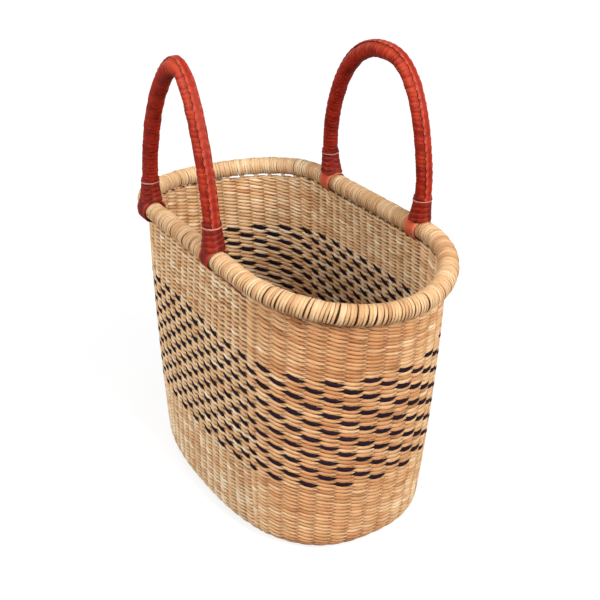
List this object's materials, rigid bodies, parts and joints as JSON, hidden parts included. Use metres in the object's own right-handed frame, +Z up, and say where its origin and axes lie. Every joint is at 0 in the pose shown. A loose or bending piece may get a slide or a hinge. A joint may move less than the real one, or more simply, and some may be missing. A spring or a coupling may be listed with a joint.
{
  "type": "bolga basket",
  "caption": "Oval handwoven straw shopping basket with a wound rim and two upright leather-wrapped handles that swing on the rim.",
  "frame": {"origin": "on the floor, under the middle of the base", "axes": "+Z up, X along the basket's length with the near round end at +X, left long side at -Y"},
  "size_m": [0.4394, 0.2467, 0.5057],
  "materials": {
    "straw": "dry natural elephant grass, matt",
    "pattern_straw": "natural and black-dyed elephant grass, matt",
    "inner_straw": "dry natural elephant grass, matt",
    "rim_straw": "dry natural elephant grass, slightly glossy where wound",
    "core_grass": "bundled and twisted grass, rough",
    "red_leather": "dyed goat leather, creased, satin",
    "maroon_leather": "dark dyed goat leather, satin",
    "terracotta_leather": "lighter dyed goat leather, worn, satin",
    "pale_thread": "twisted leather thong, matt"
  },
  "bodies": {
    "basket": {"base_with_stakes": "core_grass", "lower_weave_outer": "straw", "pattern_weave_outer": "pattern_straw", "upper_weave_outer": "straw", "lower_weave_inner": "inner_straw", "pattern_weave_inner": "pattern_straw", "upper_weave_inner": "inner_straw", "rim_core": "core_grass", "rim_binding": "rim_straw"},
    "left_handle": {"left_handle_core": "core_grass", "left_handle_leather": "red_leather", "left_handle_spine": "red_leather", "left_far_cuff": "maroon_leather", "left_far_loop": "maroon_leather", "left_far_thread": "pale_thread", "left_near_cuff": "maroon_leather", "left_near_loop": "maroon_leather", "left_near_thread": "pale_thread"},
    "right_handle": {"right_handle_core": "core_grass", "right_handle_leather": "red_leather", "right_handle_spine": "red_leather", "right_far_cuff": "maroon_leather", "right_far_loop": "terracotta_leather", "right_far_thread": "pale_thread", "right_near_cuff": "maroon_leather", "right_near_loop": "terracotta_leather", "right_near_thread": "pale_thread"}
  },
  "joints": [
    {"name": "left_handle_hinge", "type": "hinge", "parent": "basket", "child": "left_handle", "pos_m": [-0.035, -0.11016, 0.31492], "axis": [1, -0.0046, 0.001], "range_deg": [-35, 80]},
    {"name": "right_handle_hinge", "type": "hinge", "parent": "basket", "child": "right_handle", "pos_m": [0.004, 0.1105, 0.315], "axis": [-1, 0, 0], "range_deg": [-35, 80]}
  ]
}
